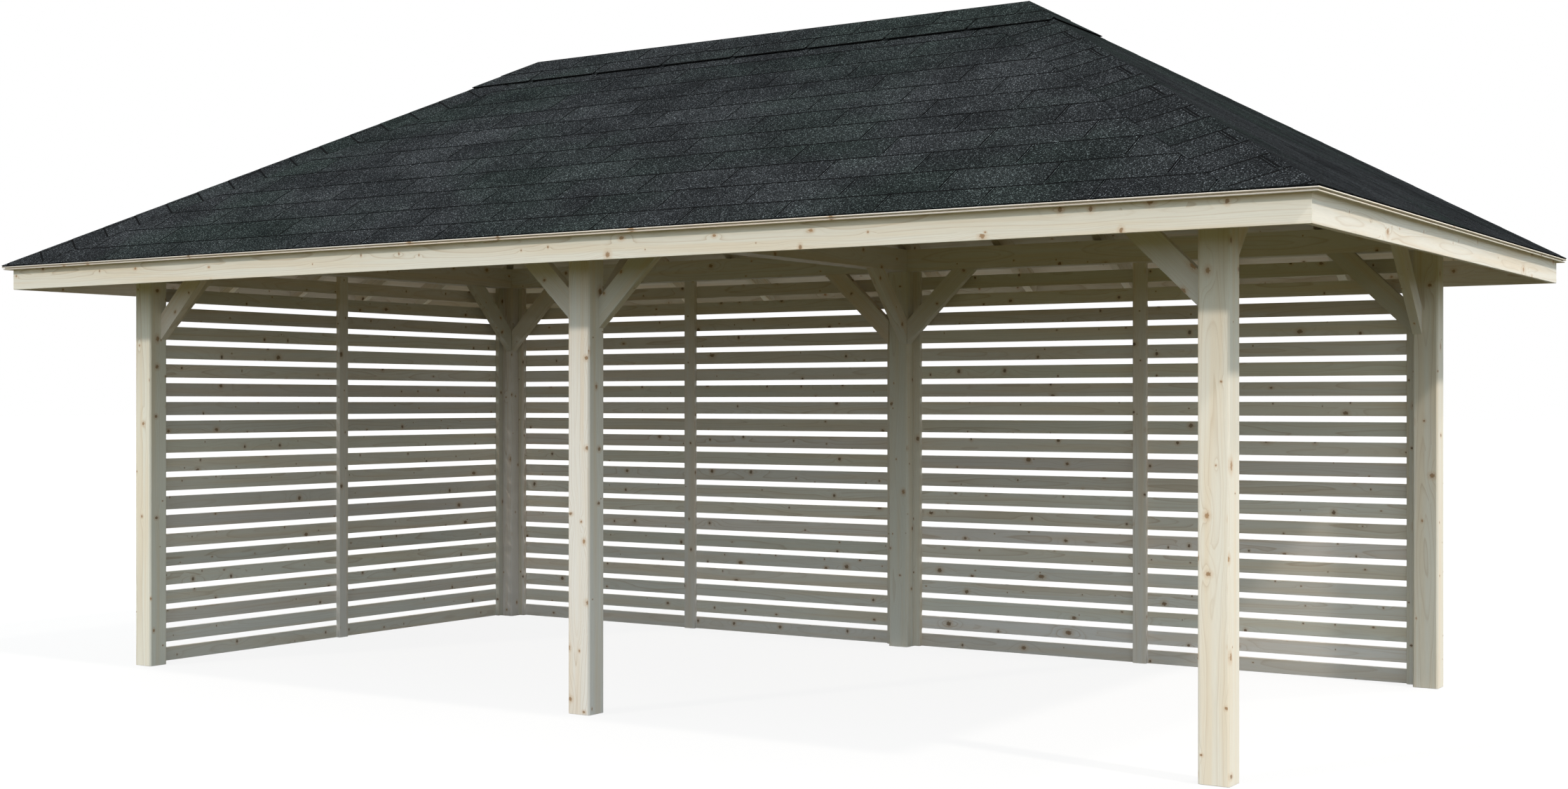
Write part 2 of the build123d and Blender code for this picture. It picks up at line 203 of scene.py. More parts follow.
class NodeSheet:
    """A node tree, filled in by calls that take sockets or plain values."""

    def __init__(self, tree):
        self.tree = tree

    def node(self, kind, feeds=None, **settings):
        made = self.tree.nodes.new(kind)
        for key, value in settings.items():
            setattr(made, key, value)
        for key, value in (feeds or {}).items():
            self.feed(made.inputs[key], value)
        return made

    def feed(self, socket, value):
        if isinstance(value, bpy.types.NodeSocket):
            self.tree.links.new(value, socket)
        else:
            socket.default_value = value

    def math(self, operation, *values):
        made = self.node("ShaderNodeMath", operation=operation)
        for socket, value in zip(made.inputs, values):
            self.feed(socket, value)
        return made.outputs[0]

    def add(self, *values):
        total = values[0]
        for value in values[1:]:
            total = self.math("ADD", total, value)
        return total

    def times(self, a, b):
        return self.math("MULTIPLY", a, b)

    def vector(self, x, y, z=0.0):
        return self.node("ShaderNodeCombineXYZ", {"X": x, "Y": y, "Z": z}).outputs[0]

    def parts(self, vector):
        return self.node("ShaderNodeSeparateXYZ", {"Vector": vector}).outputs

    def dot(self, vector, direction):
        made = self.node(
            "ShaderNodeVectorMath", {0: vector, 1: tuple(direction)}, operation="DOT_PRODUCT")
        return made.outputs["Value"]

    def length(self, vector):
        return self.node("ShaderNodeVectorMath", {0: vector}, operation="LENGTH").outputs["Value"]

    def random(self, number):
        made = self.node("ShaderNodeTexWhiteNoise", {"W": number}, noise_dimensions="1D")
        return self.parts(made.outputs["Color"])

    def noise(self, place, detail=2.0, scale=1.0, dimensions="3D"):
        """Noise at a vector, or in 1D at a number."""
        key = "W" if dimensions == "1D" else "Vector"
        return self.node(
            "ShaderNodeTexNoise", {key: place, "Scale": scale, "Detail": detail},
            noise_dimensions=dimensions).outputs

    def cells(self, place, scale=1.0):
        """Flat cells, each with a point of its own."""
        return self.node(
            "ShaderNodeTexVoronoi", {"Vector": place, "Scale": scale, "Randomness": 1.0},
            voronoi_dimensions="2D").outputs

    def scaled(self, value, factor, offset):
        return self.math("MULTIPLY_ADD", value, factor, offset)

    def around(self, value, reach):
        """A value from 0 to 1, spread from -reach to reach."""
        return self.scaled(value, 2 * reach, -reach)

    def faces(self, normal, direction, limit=0.7):
        """1 where the surface faces this direction or the opposite one."""
        return self.math(
            "GREATER_THAN", self.math("ABSOLUTE", self.dot(normal, direction)), limit)

    def map(self, value, low, high, to_low=0.0, to_high=1.0):
        feeds = {
            "Value": value, "From Min": low, "From Max": high, "To Min": to_low,
            "To Max": to_high}
        return self.node(
            "ShaderNodeMapRange", feeds, interpolation_type="SMOOTHSTEP").outputs["Result"]

    def mix(self, factor, a, b):
        """Mix of two numbers."""
        return self.node("ShaderNodeMix", {0: factor, 2: a, 3: b}, data_type="FLOAT").outputs[0]

    def tint(self, factor, a, b, blend="MIX"):
        """Mix of two colours."""
        made = self.node("ShaderNodeMix", {0: factor}, data_type="RGBA", blend_type=blend)
        for key, value in ((6, a), (7, b)):
            given = isinstance(value, bpy.types.NodeSocket)
            self.feed(made.inputs[key], value if given else (*value, 1.0))
        return made.outputs[2]

    def curve(self, value, stops):
        """Grey level that follows the stops."""
        made = self.node("ShaderNodeValToRGB", {"Fac": value})
        ramp = made.color_ramp
        while len(ramp.elements) < len(stops):
            ramp.elements.new(0.5)
        for element, (place, level) in zip(ramp.elements, stops):
            element.position = place
            element.color = (level, level, level, 1)
        return made.outputs["Color"]


def new_surface(name, specular=0.0):
    """New material, its sheet and its shader, matt unless told otherwise."""
    material = bpy.data.materials.new(name)
    material.use_nodes = True
    shader = material.node_tree.nodes["Principled BSDF"]
    shader.inputs["Roughness"].default_value = 1.0
    shader.inputs["Specular IOR Level"].default_value = specular
    return material, NodeSheet(material.node_tree), shader


def spruce_grain(timber):
    """Node group: colour, height and roughness of a spruce board from its own coordinates."""
    found = bpy.data.node_groups.get("spruce_grain")
    if found:
        return found
    tree = bpy.data.node_groups.new("spruce_grain", "ShaderNodeTree")
    for name in ("Along", "Across", "Through", "Board", "Side", "End"):
        tree.interface.new_socket(name, in_out="INPUT", socket_type="NodeSocketFloat")
    tree.interface.new_socket("Color", in_out="OUTPUT", socket_type="NodeSocketColor")
    for name in ("Height", "Roughness"):
        tree.interface.new_socket(name, in_out="OUTPUT", socket_type="NodeSocketFloat")
    sheet = NodeSheet(tree)
    given = tree.nodes.new("NodeGroupInput").outputs
    along, across, through = given["Along"], given["Across"], given["Through"]
    board, side, end = given["Board"], given["Side"], given["End"]
    # Three draws for each board; the offsets only keep them apart
    first = sheet.random(board)
    second = sheet.random(sheet.add(board, 41.3))
    third = sheet.random(sheet.add(board, 97.7))
    place = sheet.add(along, sheet.times(first[2], 40.0))

    def stretched(section, length):
        """Noise with one scale over the board's section and another along the board."""
        return sheet.noise(sheet.vector(
            sheet.times(across, section), sheet.times(through, section),
            sheet.times(place, length)))

    # Knots: round spots that go through the board, each with its own size
    spacing = timber.knot_spacing
    flat = sheet.mix(side, across, sheet.add(through, 0.31))
    flat = sheet.add(flat, sheet.times(second[0], 9.0))
    cell = sheet.vector(sheet.times(flat, 1 / KNOT_STRIP), sheet.times(place, 1 / spacing))
    knots = sheet.cells(cell)
    chance = sheet.parts(knots["Color"])
    spot = sheet.node(
        "ShaderNodeVectorMath", {0: cell, 1: knots["Position"]}, operation="SUBTRACT")
    spot = sheet.parts(spot.outputs[0])
    offset_across = sheet.times(spot[0], KNOT_STRIP)
    offset_along = sheet.times(spot[1], spacing)
    smallest, largest = KNOT_RADII
    size = sheet.scaled(sheet.math("POWER", chance[0], 2.2), largest - smallest, smallest)
    present = sheet.math("GREATER_THAN", chance[1], 0.30)
    ragged = sheet.noise(sheet.vector(sheet.times(flat, 170.0), sheet.times(place, 120.0)), 3.0)
    slender = sheet.scaled(chance[2], 0.9, 0.6)
    reach = sheet.length(sheet.vector(offset_across, sheet.times(offset_along, slender)))
    reach = sheet.add(sheet.math("DIVIDE", reach, size), sheet.around(ragged[0], 0.75))
    body = sheet.times(sheet.map(reach, 0.70, 1.30, 1.0, 0.0), present)
    halo = sheet.times(sheet.map(reach, 0.8, 3.2, 1.0, 0.0), present)

    # Growth rings: cylinders round a pith that wanders beside the board, pushed aside by knots
    slow = sheet.times(place, 1.1)
    drift = sheet.parts(sheet.noise(slow, 1.0, dimensions="1D")["Color"])
    warp = sheet.parts(stretched(14.0, 1.5)["Color"])
    from_pith = sheet.vector(
        sheet.add(across, sheet.around(first[0], 0.035), sheet.around(drift[0], 0.013),
                  sheet.around(warp[0], 0.006)),
        sheet.add(through, sheet.scaled(first[1], 0.06, 0.055), sheet.around(drift[1], 0.008),
                  sheet.around(warp[1], 0.006)))
    taper = sheet.around(sheet.noise(slow, 0.0, dimensions="1D")[0], 0.010)
    rings = sheet.times(sheet.add(sheet.length(from_pith), taper), 1 / timber.ring_width)
    pull = sheet.add(
        sheet.math("POWER", sheet.math("DIVIDE", offset_across, sheet.times(size, 2.6)), 2.0),
        sheet.math("POWER", sheet.math("DIVIDE", offset_along, sheet.times(size, 9.0)), 2.0))
    pull = sheet.times(sheet.math("EXPONENT", sheet.times(pull, -1.0)), present)
    rings = sheet.add(rings, sheet.times(sheet.times(pull, size), 1.3 / timber.ring_width))
    uneven = sheet.noise(sheet.times(rings, 0.45), 1.0, dimensions="1D")
    rings = sheet.add(rings, sheet.around(uneven[0], 0.8))
    line = sheet.curve(sheet.math("FRACT", rings), [
        (0.0, 0.22), (0.07, 0.03), (0.58, 0.03), (0.84, 0.38), (0.95, 1.0), (1.0, 0.50)])
    strength = sheet.random(sheet.math("FLOOR", rings))[0]
    line = sheet.times(line, sheet.scaled(strength, 0.75, 0.25))
    line = sheet.times(line, sheet.scaled(third[2], 0.6, 0.4))

    # Colour: sapwood with warmer streaks, growth lines, fibres and knots
    warm = sheet.map(stretched(22.0, 0.9)[0], 0.40, 0.72, 0.0, 0.8)
    colour = sheet.tint(warm, timber.sapwood, timber.heartwood)
    colour = sheet.tint(sheet.times(line, 0.66), colour, timber.latewood)
    fibre = stretched(620.0, 14.0)[0]
    shade = sheet.scaled(fibre, 0.16, 0.92)
    tone = sheet.scaled(second[1], timber.board_spread * 2, 1 - timber.board_spread)
    shade = sheet.times(sheet.times(shade, tone), sheet.mix(end, 1.0, 0.80))
    colour = sheet.tint(1.0, colour, sheet.vector(shade, shade, shade), "MULTIPLY")
    cast = sheet.vector(
        sheet.scaled(third[0], 0.05, 0.975), 1.0, sheet.scaled(third[1], 0.08, 0.96))
    colour = sheet.tint(1.0, colour, cast, "MULTIPLY")
    dark_knot = [0.25 * value for value in timber.knot]
    heart = sheet.curve(sheet.times(reach, 0.5), [
        (0.0, 0.9), (0.10, 0.25), (0.22, 0.5), (0.30, 0.15), (0.45, 0.75), (0.6, 0.2)])
    dead = sheet.times(sheet.math("GREATER_THAN", board, FIRST_DEAD_KNOT_BOARD), 0.45)
    dark = sheet.add(sheet.times(chance[2], 0.5), sheet.times(heart, 0.4), dead)
    centre = sheet.tint(sheet.math("MINIMUM", dark, 1.0), timber.knot, dark_knot)
    colour = sheet.tint(sheet.times(halo, 0.48), colour, (0.62, 0.44, 0.29))
    colour = sheet.tint(sheet.times(body, 0.85), colour, centre)

    height = sheet.add(sheet.times(fibre, 0.5), sheet.times(line, 0.35), sheet.times(body, 0.4))
    given_back = tree.nodes.new("NodeGroupOutput")
    sheet.feed(given_back.inputs["Color"], colour)
    sheet.feed(given_back.inputs["Height"], height)
    sheet.feed(given_back.inputs["Roughness"], sheet.mix(body, 0.68, 0.45))
    return tree


def spruce(name, timber, coordinates):
    """Planed spruce. Coordinates is a function that gives a board's axes and number."""
    material, sheet, shader = new_surface(name, 0.15)
    geometry = sheet.node("ShaderNodeNewGeometry").outputs
    grain = sheet.node("ShaderNodeGroup")
    grain.node_tree = spruce_grain(timber)
    for key, value in coordinates(sheet, geometry["Position"], geometry["True Normal"]).items():
        sheet.feed(grain.inputs[key], value)
    bump = sheet.node(
        "ShaderNodeBump", {"Height": grain.outputs["Height"], "Strength": 0.35, "Distance": 0.0006})
    sheet.feed(shader.inputs["Base Color"], grain.outputs["Color"])
    sheet.feed(shader.inputs["Roughness"], grain.outputs["Roughness"])
    sheet.feed(shader.inputs["Normal"], bump.outputs[0])
    return material


def board_axes(sheet, position, normal, along, across, centre, board):
    """Axes of boards that lie in one direction. Centre gives the middle of the board's section."""
    along, across = Vector(along).normalized(), Vector(across).normalized()
    through = along.cross(across)
    return {
        "Along": sheet.dot(position, along),
        "Across": sheet.add(sheet.dot(position, across), -centre.dot(across)),
        "Through": sheet.add(sheet.dot(position, through), -centre.dot(through)),
        "Board": board,
        "Side": sheet.faces(normal, across),
        "End": sheet.faces(normal, along),
    }


def box_middle(name):
    low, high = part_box(name)
    return (low + high) / 2


def dress(name, timber, coordinates):
    """Give a carried node spruce of its own, and ease its edges."""
    shown = nodes[name]
    shown.data.materials.clear()
    shown.data.materials.append(spruce(f"{name}_spruce", timber, coordinates))
    weld = shown.modifiers.new("weld", "WELD")
    weld.merge_threshold = 0.00002
    eased = shown.modifiers.new("eased_edges", "BEVEL")
    eased.width = timber.arris
    eased.segments = 2
    eased.limit_method = "ANGLE"
    eased.angle_limit = math.radians(30)
    eased.harden_normals = True


def add_piece(name, data):
    piece = bpy.data.objects.new(name, data)
    bpy.context.scene.collection.objects.link(piece)
    return piece


def dress_straight(name, timber, along, across, number, forward=0.0):
    """One board or post of its own. Forward moves the middle of its grain to the front."""
    centre = box_middle(name) - Vector((0, forward, 0))

    def coordinates(sheet, position, normal):
        return board_axes(sheet, position, normal, along, across, centre, number)

    dress(name, timber, coordinates)


class RoofSlope:
    """Face of the roof: u runs along the eave, v up the slope from the edge, w out of it."""

    def __init__(self, shingles, name):
        low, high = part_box("front_shingles")
        ridge_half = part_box("ridge_board")[1].x
        self.name = name
        self.broad = name in ("front", "back")
        rise = shingles.roof_rise
        if self.broad:
            out = Vector((0, -1, 0)) if name == "front" else Vector((0, 1, 0))
            head = Vector((0, 0, high.z))
            self.run, self.head_half, self.foot_half = -low.y, ridge_half, high.x
        else:
            out = Vector((-1, 0, 0)) if name == "left" else Vector((1, 0, 0))
            head = Vector((out.x * ridge_half, 0, high.z))
            self.run, self.head_half, self.foot_half = high.x - ridge_half, 0.0, -low.y
        self.share = self.run / -low.y
        self.slant = math.hypot(self.run, rise)
        self.right = Vector((0, 0, 1)).cross(out)
        self.up = (Vector((0, 0, rise)) - out * self.run) / self.slant
        self.normal = self.right.cross(self.up)
        self.eave = head + out * self.run - Vector((0, 0, rise))

    def point(self, u, v, w):
        return self.eave + self.right * u + self.up * v + self.normal * w

    def above(self, u, v, height):
        """Point this far straight above the roof plane."""
        return self.point(u, v, 0.0) + Vector((0, 0, height))

    def half_at(self, v):
        return self.foot_half + (self.head_half - self.foot_half) * v / self.slant

    def from_ridge(self, plan_run):
        """Distance up the slope of a line this far from the ridge in plan, at the front."""
        return self.slant * (1 - plan_run * self.share / self.run)

    def inside(self, margin=0.0):
        """Half planes (a, b, c), a*u + b*v <= c, between the hips and above the eave."""
        lean = (self.foot_half - self.head_half) / self.slant
        return [(1, lean, self.foot_half - margin), (-1, lean, self.foot_half - margin), (0, -1, 0)]


def clip(outline, half_planes):
    """Part of a convex outline that lies inside all half planes."""
    for a, b, c in half_planes:
        kept = []
        for (u, v), (next_u, next_v) in zip(outline, outline[1:] + outline[:1]):
            here, there = a * u + b * v - c, a * next_u + b * next_v - c
            if here <= 0:
                kept.append((u, v))
            if here * there < 0:
                share = here / (here - there)
                kept.append((u + (next_u - u) * share, v + (next_v - v) * share))
        outline = kept
    area = sum(p[0] * q[1] - q[0] * p[1] for p, q in zip(outline, outline[1:] + outline[:1])) / 2
    return outline if len(outline) > 2 and area > SMALLEST_PLATE else []


def quad(near, far, low, high, half_planes):
    """Clipped rectangle from near to far along the eave and from low to high up the slope."""
    return clip([(near, low), (far, low), (far, high), (near, high)], half_planes)


def level(height):
    """Face of a plate at the same height all over."""
    return lambda u, v: height


class ShingleMesh:
    """Mesh of loose shingles, each a thin plate with its own tint."""

    def __init__(self):
        self.mesh = bmesh.new()
        self.tint = self.mesh.verts.layers.float_color.new("shingle_tint")

    def plate(self, place, outline, top, bottom, tint, cut=lambda u, v: True, face=0):
        """Closed plate. Place gives a point from (u, v, height); top and bottom give heights.

        Cut tells from its middle whether a side is a bare edge. Face is 1 for a bare plate of
        bitumen, also used as painted shade."""
        if not outline:
            return
        upper = [self.mesh.verts.new(place(u, v, top(u, v))) for u, v in outline]
        lower = [self.mesh.verts.new(place(u, v, bottom(u, v))) for u, v in outline]
        for vert in upper + lower:
            vert[self.tint] = tint
        self.mesh.faces.new(upper).material_index = face
        self.mesh.faces.new(lower[::-1]).material_index = 1
        for i in range(len(upper)):
            j = (i + 1) % len(upper)
            bare = cut((outline[i][0] + outline[j][0]) / 2, (outline[i][1] + outline[j][1]) / 2)
            self.mesh.faces.new((upper[j], upper[i], lower[i], lower[j])).material_index = int(bare)

    def finish(self, name, materials, *replaced):
        data = bpy.data.meshes.new(name)
        self.mesh.to_mesh(data)
        self.mesh.free()
        for material in materials:
            data.materials.append(material)
        piece = add_piece(name, data)
        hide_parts(*replaced)
        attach(piece, "root")
        return piece


def shingle_materials(shingles):
    """Granule surface, and bare bitumen that also serves as painted shade, made once."""
    found = [bpy.data.materials.get(name) for name in ("shingle_granules", "shingle_bitumen_and_shade")]
    if all(found):
        return found
    surface, sheet, shader = new_surface("shingle_granules")
    geometry = sheet.node("ShaderNodeNewGeometry").outputs
    position = geometry["Position"]
    x, y, z = sheet.parts(position)
    at_end = sheet.faces(geometry["True Normal"], (1, 0, 0), 0.3)
    flat = sheet.vector(sheet.mix(at_end, x, y), sheet.times(z, 1.5))
    tint = sheet.node("ShaderNodeAttribute", attribute_name="shingle_tint").outputs["Vector"]
    tint = sheet.parts(tint)
    grains = sheet.cells(flat, 1 / shingles.granule)
    speck = sheet.curve(sheet.parts(grains["Color"])[0], [
        (0.0, 0.05), (0.35, 0.09), (0.70, 0.135), (0.90, 0.20), (0.97, 0.70), (1.0, 1.0)])
    speck = sheet.mix(sheet.times(at_end, 0.5), speck, 0.155)
    broad = sheet.noise(position, 3.0, 0.85)[0]
    smudge = sheet.noise(position, 3.0, 3.4)[0]
    clump = sheet.noise(flat, 2.0, 150.0, "2D")[0]
    green = sheet.add(tint[1], sheet.map(broad, 0.42, 0.63, -0.22, 0.75))
    green = sheet.math("MINIMUM", sheet.math("MAXIMUM", green, 0.0), 1.0)
    colour = sheet.tint(green, shingles.slate, shingles.moss)
    shade = sheet.scaled(tint[0], 0.5, 0.75)
    shade = sheet.times(shade, sheet.map(smudge, 0.30, 0.66, 0.75, 1.12))
    shade = sheet.times(shade, sheet.map(clump, 0.30, 0.70, 0.62, 1.42))
    # The last factor makes up for the specks, which average about 0.16
    shade = sheet.times(sheet.times(shade, speck), 6.25)
    colour = sheet.tint(1.0, colour, sheet.vector(shade, shade, shade), "MULTIPLY")
    bump = sheet.node(
        "ShaderNodeBump", {"Height": grains["Distance"], "Strength": 0.5, "Distance": 0.001},
        invert=True)
    sheet.feed(shader.inputs["Base Color"], colour)
    sheet.feed(shader.inputs["Normal"], bump.outputs[0])

    # Bitumen of the cut edges, also used as painted shade and painted shadow
    edge, sheet, shader = new_surface("shingle_bitumen_and_shade")
    position = sheet.node("ShaderNodeNewGeometry").outputs["Position"]
    felt = sheet.map(sheet.noise(position, 2.0, 420.0)[0], 0.35, 0.7)
    pale = [1.9 * value for value in shingles.bitumen_and_shade]
    colour = sheet.tint(felt, shingles.bitumen_and_shade, pale)
    sheet.feed(shader.inputs["Base Color"], colour)
    return [surface, edge]


def tab_joints(shingles, half, row):
    """Places of the slots of a course, over a whole slope. A strip is six tabs, one wider."""
    tab = shingles.tab_width
    period = 6 * tab + shingles.strip_joint
    start = 0.232 if row % 2 else 0.005
    wide_after = 5 if row % 2 else 2
    joints = []
    for repeat in range(-3, 3):
        u = start + repeat * period
        for step in range(6):
            joints.append(u)
            u += tab + (shingles.strip_joint if step == wide_after else 0)
    return [u for u in joints if -half - period < u < half + period]


def lay_slope(shingles, slope, chance):
    """Courses of shingle tabs of one slope, over a dark sheet, painted shade, that shows in the
    slots.
    """
    laid = ShingleMesh()
    inside = slope.inside(0.003)
    broad, thick = slope.broad, shingles.thickness
    # On the short slopes the courses lie flush, with a thin open line between them, where the dark
    # sheet shows as a painted shadow line
    step, open_line, lap = (0.0016, 0.0, LAP) if broad else (0.0, 0.0018, 0.0)
    gap, streak_half, shadow_width = shingles.slot_width / 2, 0.002, 0.006

    def band(low, high):
        return quad(-slope.foot_half, slope.foot_half, low, high, inside)

    feet = [0.0]
    foot = shingles.first_exposure
    while foot < slope.slant - 0.05:
        feet.append(foot)
        foot += shingles.exposure
    feet.append(slope.slant)
    # Dark sheet under all the tabs, painted shade in the slots and open lines: bitumen on the broad
    # slopes, darkened granules on the short ones
    laid.plate(
        slope.point, band(0, slope.slant), level(-0.0056), level(-0.006), SHADE_SHEET_TINT,
        face=int(broad))
    # The starter strip behind the slots of the lowest course
    laid.plate(
        slope.point, band(0, 0.15), lambda u, v: -0.0041 - 0.009 * v, level(-SHEET_DEPTH),
        PLAIN_TINT)
    for row, (low, high) in enumerate(zip(feet, feet[1:])):
        course = shingles.exposure if row else shingles.first_exposure
        foot = low + (open_line if row else 0.0)
        head = min(high + lap, slope.slant)
        joints = tab_joints(shingles, slope.foot_half, row)
        course_green = chance.uniform(-0.25, 0.25)
        # The short slopes' courses get a much lower level: painted shade, darker where the light
        # grazes them
        course_level = chance.uniform(0.35, 0.65) if broad else chance.uniform(0.0, 0.15)
        for left, right in zip(joints, joints[1:]):
            curl = [chance.uniform(-0.0005, 0.0) if broad else 0.0 for corner in range(2)]
            tint = (
                min(course_level + chance.gauss(0, 0.16 if broad else 0.08), 1),
                course_green + chance.gauss(0.05, 0.16), chance.random(), 1)
            tab = quad(left + gap, right - gap, foot, head, inside)

            def top(u, v):
                share = (u - left) / (right - left)
                curled = curl[0] * (1 - share) + curl[1] * share
                return curled * max(0, 1 - (v - low) / 0.05) - step * (v - low) / course

            def bottom(u, v):
                return -thick - (SHEET_DEPTH - thick) * (v - low) / (course + LAP)

            laid.plate(slope.point, tab, top, bottom, tint, lambda u, v: row > 0 or v > 0.001)
            # The slot has a lighter line of granules along its middle
            streak = quad(left - streak_half, left + streak_half, low, high, inside)
            laid.plate(slope.point, streak, level(-0.0022), level(-0.0058), STREAK_TINT)
        # A dark strip below each course's foot: painted shadow under the foot
        if row and broad:
            laid.plate(
                slope.point, band(low - shadow_width, low), level(-0.0012),
                level(-SHEET_DEPTH), PLAIN_TINT, face=1)
    return laid.finish(
        f"{slope.name}_shingle_courses", shingle_materials(shingles), f"{slope.name}_shingles")


def lay_hip(shingles, right_hip_of, left_hip_of, node, chance):
    """Shingles bent over a hip, each lapped over the one below it."""
    laid = ShingleMesh()
    course, width = shingles.hip_exposure, shingles.hip_width
    slot, streak = (0.029, 0.048), (0.0375, 0.0415)
    first_foot, lap = 0.042, 0.025
    length = math.hypot(right_hip_of.slant, right_hip_of.foot_half - right_hip_of.head_half)
    tints = {}
    for number in range(-2, int(length / course) + 2):
        green = chance.choice((-0.25, -0.1, 0.0, 0.25, 0.6))
        tints[number] = (chance.uniform(0.3, 0.7), green, chance.random(), 1)
    for slope, side in ((right_hip_of, 1), (left_hip_of, -1)):
        lean = slope.foot_half - slope.head_half
        reach = math.hypot(slope.slant, lean)
        along = (-side * lean / reach, slope.slant / reach)
        across = (-side * slope.slant / reach, -lean / reach)
        inside = slope.inside() + [(0, 1, slope.from_ridge(shingles.hood_run) + 0.03)]
        # Height of a foot over its head, and width of the painted shadow line below the foot
        lift, line = (0.0013, 0.010) if slope.broad else (0.0004, 0.0015)

        def spot(s, q):
            return (
                side * slope.foot_half + along[0] * s + across[0] * q,
                along[1] * s + across[1] * q)

        def from_hip(u, v):
            return (u - side * slope.foot_half) * across[0] + v * across[1]

        def bare(u, v):
            return 0.001 < from_hip(u, v) < width - 0.001

        def leaf(start, end, near, far):
            corners = [spot(start, near), spot(start, far), spot(end, far), spot(end, near)]
            if side > 0:
                corners = [corners[1], corners[0], corners[3], corners[2]]
            return clip(corners, inside)

        for number, tint in tints.items():
            low = first_foot + number * course
            head = low + course + lap
            # On the short slopes the leaves are greener and much lower in level, painted shade as
            # on their courses
            if not slope.broad:
                tint = (tint[0] - 0.45, tint[1] + 0.2, tint[2], 1)

            def share(u, v):
                s = (u - side * slope.foot_half) * along[0] + v * along[1]
                return (s - low) / (head - low)

            def top(u, v):
                return 0.0009 + lift * (1 - share(u, v)) * (1 - 0.8 * from_hip(u, v) / width)

            def bottom(u, v):
                return 0.0005 * (1 - share(u, v))

            # Dark strip below the leaf's foot: painted shadow
            laid.plate(
                slope.above, leaf(low - line, low, 0, width), level(0.0013), bottom, tint, face=1)
            leaves = [(0, width)]
            if number % 2 and slope.broad:
                leaves = [(0, slot[0]), (slot[1], width)]
                # Dark plate in the slot: painted shade between the two leaves
                laid.plate(
                    slope.above, leaf(low, low + course, slot[0] - 0.001, slot[1] + 0.001),
                    level(0.0006), level(0.0002), tint, face=1)
                laid.plate(
                    slope.above, leaf(low, low + course, *streak), level(0.0012), level(0.0005),
                    HIP_STREAK_TINT)
            for near, far in leaves:
                laid.plate(slope.above, leaf(low, head, near, far), top, bottom, tint, bare)
    return laid.finish(node + "_shingles", shingle_materials(shingles), node)


def lay_hood(shingles, slopes, chance):
    """Raised hood over the ridge: two courses of tabs on a packing sheet that stands back."""
    laid = ShingleMesh()
    rise, gap = shingles.hood_rise, shingles.slot_width / 2
    for slope in slopes.values():
        edge = slope.from_ridge(shingles.hood_run)
        step = slope.from_ridge(shingles.hood_step_run)
        head, inside = slope.slant, slope.inside()
        half = slope.half_at(edge)
        packing = quad(-half, half, edge + 0.03, head, inside)
        laid.plate(slope.above, packing, level(rise - 0.0036), level(0.0), PLAIN_TINT)
        courses = (
            (edge, 0.0, level(rise), level(rise - 0.0035)),
            (step, 0.2, level(rise + 0.003), level(rise - 0.0002)))
        for low, shift, top, bottom in courses:
            joints = [shift - 0.025 + shingles.tab_width * n for n in range(-6, 7)]
            for left, right in zip(joints, joints[1:]):
                tint = (chance.uniform(0.35, 0.6), chance.uniform(0.1, 0.5), chance.random(), 1)
                tab = quad(left + gap, right - gap, low, head, inside)
                laid.plate(slope.above, tab, top, bottom, tint)
    return laid.finish("ridge_hood_shingles", shingle_materials(shingles), "ridge_hood")


def eave_bead(name, shingles, timber, depth, radius):
    """Rounded lip of the lowest roof boards, all round. Depth is from the roof plane."""
    front, side = RoofSlope(shingles, "front"), RoofSlope(shingles, "right")
    mesh = bmesh.new()
    sine, cosine = shingles.roof_rise / front.slant, front.run / front.slant
    sides = 14
    rings = []
    for x, y in ((1, -1), (1, 1), (-1, 1), (-1, -1)):
        ring = []
        for step in range(sides):
            angle = math.tau * step / sides
            out = -depth * sine + radius * math.cos(angle)
            height = -depth * cosine + radius * math.sin(angle)
            ring.append(mesh.verts.new((
                x * (front.foot_half + out * side.share), y * (front.run + out),
                front.eave.z + height)))
        rings.append(ring)
    for here, there in zip(rings, rings[1:] + rings[:1]):
        for i in range(sides):
            j = (i + 1) % sides
            mesh.faces.new((here[i], there[i], there[j], here[j])).smooth = True
    data = bpy.data.meshes.new(name)
    mesh.to_mesh(data)
    mesh.free()
    piece = add_piece(name, data)

    def coordinates(sheet, position, normal):
        x, y, z = sheet.parts(position)
        at_end = sheet.faces(normal, (1, 0, 0), 0.02)
        return {
            "Along": sheet.mix(at_end, x, y), "Across": z, "Through": 0.0,
            "Board": sheet.add(at_end, 90.0), "Side": 0.0, "End": 0.0}

    data.materials.append(spruce(name + "_spruce", timber, coordinates))
    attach(piece, "root")
    return piece


class GAZEBO_OT_posts(bpy.types.Operator):
    """Dress the six posts in planed spruce"""

    bl_idname = "gazebo.posts"
    bl_label = "Posts"

    def execute(self, context):
        timber = context.scene.gazebo_timber
        for name, number in zip(POSTS, POST_BOARDS):
            dress_straight(name, timber, (0, 0, 1), (1, 0, 0), number, 0.06)
        return {"FINISHED"}


class GAZEBO_OT_beams(bpy.types.Operator):
    """Dress the ring of beams and the tie beam"""

    bl_idname = "gazebo.beams"
    bl_label = "Beams"

    def execute(self, context):
        timber = context.scene.gazebo_timber
        for number, name in enumerate(LONG_BEAMS):
            dress_straight(name, timber, (1, 0, 0), (0, 0, 1), 21.0 + number)
        for number, name in enumerate(CROSS_BEAMS):
            dress_straight(name, timber, (0, 1, 0), (0, 0, 1), 27.0 + number)
        return {"FINISHED"}


